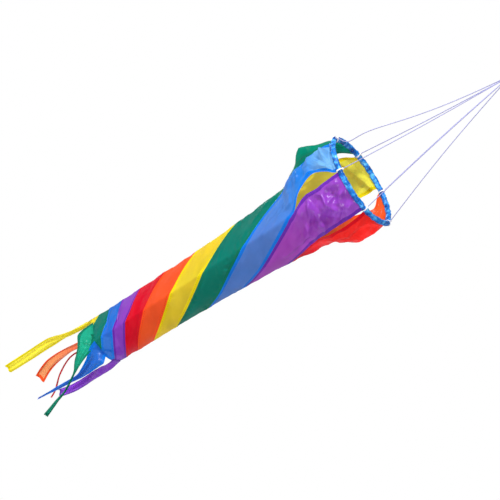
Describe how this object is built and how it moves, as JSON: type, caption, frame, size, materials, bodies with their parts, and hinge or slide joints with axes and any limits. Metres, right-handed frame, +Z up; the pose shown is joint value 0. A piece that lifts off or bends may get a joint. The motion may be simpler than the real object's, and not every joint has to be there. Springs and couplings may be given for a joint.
{
  "type": "windsock",
  "caption": "Hanging spinning windsock: a spiral tube of coloured fabric strips on a sleeved hoop, with bridle lines, ribbon tails, a ball-bearing swivel and a spring-gate snap.",
  "frame": {"origin": "the inside of the snap's top bend, where the ring that it is clipped on bears", "axes": "+Z up, the sock hangs along -Z in balance, its tube leaning 2 degrees; the snap's loop lies in the XZ plane; +X is the side that the hoop's centre stands to"},
  "size_m": [0.1736, 0.162, 1.057],
  "materials": {
    "snap_steel": "bright nickel-plated wire",
    "swivel_brass": "polished",
    "ball_steel": "polished bearing balls",
    "line_cord": "thin braided polyester line",
    "glass_fibre": "pultruded glass fibre",
    "ferrule_brass": "plain",
    "sleeve_cloth": "puckered ripstop nylon casing",
    "cloth_blue": "thin glossy ripstop nylon, slightly see-through",
    "cloth_purple": "thin glossy ripstop nylon, slightly see-through",
    "cloth_red": "thin glossy ripstop nylon, slightly see-through",
    "cloth_orange": "thin glossy ripstop nylon, slightly see-through",
    "cloth_yellow": "thin glossy ripstop nylon, slightly see-through",
    "cloth_green": "thin glossy ripstop nylon, slightly see-through"
  },
  "bodies": {
    "snap": {"snap_wire": "snap_steel", "snap_clevis": "snap_steel", "snap_gate_pin": "snap_steel"},
    "snap_gate": {"snap_gate": "snap_steel"},
    "swivel_barrel": {"swivel_upper_eye": "swivel_brass", "swivel_cap": "swivel_brass", "swivel_barrel": "swivel_brass"},
    "swivel_balls": {"swivel_balls": "ball_steel"},
    "swivel_eye": {"swivel_lower_eye": "swivel_brass"},
    "windsock": {"bridle_knot": "line_cord", "bridle_line_1": "line_cord", "bridle_line_2": "line_cord", "bridle_line_3": "line_cord", "bridle_line_4": "line_cord", "bridle_line_5": "line_cord", "bridle_line_6": "line_cord", "line_knot_1": "line_cord", "line_knot_2": "line_cord", "line_knot_3": "line_cord", "line_knot_4": "line_cord", "line_knot_5": "line_cord", "line_knot_6": "line_cord", "hoop_rod": "glass_fibre", "hoop_ferrule": "ferrule_brass", "hoop_sleeve": "sleeve_cloth", "strip_blue": "cloth_blue", "strip_purple": "cloth_purple", "strip_red": "cloth_red", "strip_orange": "cloth_orange", "strip_yellow": "cloth_yellow", "strip_green": "cloth_green"},
    "tail_blue": {"tail_blue": "cloth_blue"},
    "tail_purple": {"tail_purple": "cloth_purple"},
    "tail_red": {"tail_red": "cloth_red"},
    "tail_orange": {"tail_orange": "cloth_orange"},
    "tail_yellow": {"tail_yellow": "cloth_yellow"},
    "tail_green": {"tail_green": "cloth_green"}
  },
  "joints": [
    {"name": "gate_hinge", "type": "hinge", "parent": "snap", "child": "snap_gate", "pos_m": [0.0042, 0, -0.014], "axis": [0, -1, 0], "range_deg": [0, 30], "stiffness_Nm_per_rad": 0.01},
    {"name": "swivel_swing", "type": "hinge", "parent": "snap", "child": "swivel_barrel", "pos_m": [0, 0, -0.0222], "axis": [1, 0, 0], "range_deg": [-90, 90]},
    {"name": "swivel_spin", "type": "hinge", "parent": "swivel_barrel", "child": "swivel_eye", "pos_m": [0, 0, -0.03755], "axis": [0, 0, 1], "continuous": true},
    {"name": "ball_roll", "type": "hinge", "parent": "swivel_barrel", "child": "swivel_balls", "pos_m": [0, 0, -0.03755], "axis": [0, 0, 1], "continuous": true},
    {"name": "bridle_swing", "type": "hinge", "parent": "swivel_eye", "child": "windsock", "pos_m": [0, 0, -0.04375], "axis": [0, 1, 0], "range_deg": [-75, 75]},
    {"name": "tail_blue_flap", "type": "hinge", "parent": "windsock", "child": "tail_blue", "pos_m": [-0.0063, -0.03583, -0.85849], "axis": [-0.9842, -0.1736, 0.0349], "range_deg": [-4, 6]},
    {"name": "tail_purple_flap", "type": "hinge", "parent": "windsock", "child": "tail_purple", "pos_m": [0.02285, -0.00838, -0.85952], "axis": [-0.1735, -0.9848, 0.0062], "range_deg": [-4, 40]},
    {"name": "tail_red_flap", "type": "hinge", "parent": "windsock", "child": "tail_red", "pos_m": [0.01462, 0.03, -0.85923], "axis": [0.7189, -0.6947, -0.0255], "range_deg": [-4, 30]},
    {"name": "tail_orange_flap", "type": "hinge", "parent": "windsock", "child": "tail_orange", "pos_m": [-0.02335, 0.041, -0.85788], "axis": [0.9775, 0.2079, -0.0346], "range_deg": [-4, 50]},
    {"name": "tail_yellow_flap", "type": "hinge", "parent": "windsock", "child": "tail_yellow", "pos_m": [-0.05284, 0.0155, -0.85684], "axis": [0.3744, 0.9272, -0.0133], "range_deg": [-4, 60]},
    {"name": "tail_green_flap", "type": "hinge", "parent": "windsock", "child": "tail_green", "pos_m": [-0.04135, -0.02279, -0.85725], "axis": [-0.6424, 0.766, 0.0228], "range_deg": [-4, 45]}
  ],
  "couplings": [
    {"joint": "ball_roll", "follows": "swivel_spin", "ratio": 0.5}
  ]
}
